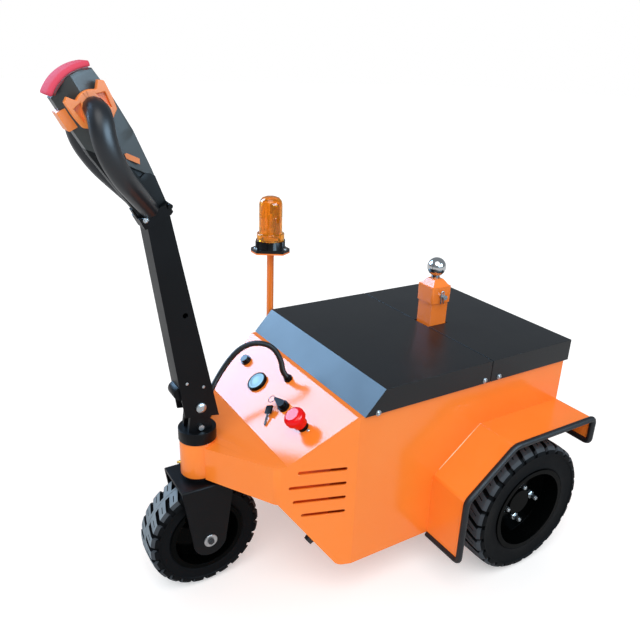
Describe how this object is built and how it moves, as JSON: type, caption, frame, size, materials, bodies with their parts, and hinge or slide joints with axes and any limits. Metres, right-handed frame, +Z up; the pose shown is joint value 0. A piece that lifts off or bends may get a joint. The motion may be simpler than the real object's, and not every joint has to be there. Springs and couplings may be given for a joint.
{
  "type": "electric tow tractor",
  "caption": "Walk-behind electric tow tractor: steered front wheel and tilting tiller, boxed battery body, fendered drive wheels, tow ball post, beacon.",
  "frame": {"origin": "on the floor under the middle of the machine's footprint", "axes": "+X towards the tiller end, +Y to the machine's left side, +Z up"},
  "size_m": [1.1958, 0.782, 1.2086],
  "materials": {
    "orange_paint": "satin powder coat",
    "cover_paint": "satin powder coat",
    "black_paint": "satin powder coat",
    "rim_paint": "gloss",
    "battery_case": "moulded",
    "axle_iron": "cast",
    "edge_rubber": "matte",
    "tyre_rubber": "matte",
    "hose_rubber": "corrugated",
    "ball_chrome": "polished",
    "zinc_plate": "zinc plated",
    "black_plastic": "moulded",
    "grip_plastic": "satin moulded",
    "grey_plastic": "moulded",
    "red_plastic": "gloss",
    "orange_plastic": "moulded",
    "gauge_glass": "clear cover",
    "amber_lens": "moulded amber lens"
  },
  "bodies": {
    "chassis": {"side_panel_left": "orange_paint", "side_panel_right": "orange_paint", "rear_panel": "orange_paint", "console_panel": "orange_paint", "belly_pan": "orange_paint", "head_tube": "orange_paint", "cover_front": "cover_paint", "cover_rear": "cover_paint", "battery": "battery_case", "drive_axle": "axle_iron", "fender_left": "orange_paint", "fender_right": "orange_paint", "fender_trim_left": "edge_rubber", "fender_trim_right": "edge_rubber", "tow_post": "orange_paint", "tow_collar": "orange_paint", "tow_ball": "ball_chrome", "tow_pin": "zinc_plate", "beacon_pole": "orange_paint", "beacon_base": "black_plastic", "beacon_lens": "amber_lens", "gauge": "gauge_glass", "key_switch": "black_plastic", "stop_base": "black_plastic", "stop_button": "red_plastic", "socket": "black_plastic", "hose_gland": "black_plastic", "hose_grommet": "black_plastic", "hose": "hose_rubber"},
    "steering": {"fork": "black_paint", "steering_cap": "black_paint", "lug_bolt": "zinc_plate", "front_axle": "zinc_plate"},
    "front_wheel": {"front_tyre": "tyre_rubber", "front_rim": "rim_paint"},
    "tiller": {"tiller_arm": "black_paint", "pivot_bolt": "zinc_plate", "head_housing": "grey_plastic", "belly_button": "red_plastic", "thumb_rockers": "orange_plastic", "handle_loops": "grip_plastic", "head_bracket": "black_paint", "head_switches": "orange_plastic"},
    "rear_wheel_left": {"rear_tyre_left": "tyre_rubber", "rear_rim_left": "rim_paint", "rear_studs_left": "zinc_plate"},
    "rear_wheel_right": {"rear_tyre_right": "tyre_rubber", "rear_rim_right": "rim_paint", "rear_studs_right": "zinc_plate"}
  },
  "joints": [
    {"name": "steering_swivel", "type": "hinge", "parent": "chassis", "child": "steering", "pos_m": [0.341, 0, 0.35], "axis": [0, 0, 1], "range_deg": [-90, 90]},
    {"name": "front_wheel_spin", "type": "hinge", "parent": "steering", "child": "front_wheel", "pos_m": [0.341, 0, 0.1405], "axis": [0, 1, 0], "continuous": true},
    {"name": "tiller_tilt", "type": "hinge", "parent": "steering", "child": "tiller", "pos_m": [0.341, 0, 0.487], "axis": [0, 1, 0], "range_deg": [0, 75], "stiffness_Nm_per_rad": 20, "springref_deg": -57.3},
    {"name": "rear_wheel_left_spin", "type": "hinge", "parent": "chassis", "child": "rear_wheel_left", "pos_m": [-0.395, 0.33, 0.178], "axis": [0, 1, 0], "continuous": true},
    {"name": "rear_wheel_right_spin", "type": "hinge", "parent": "chassis", "child": "rear_wheel_right", "pos_m": [-0.395, -0.33, 0.178], "axis": [0, 1, 0], "continuous": true}
  ]
}
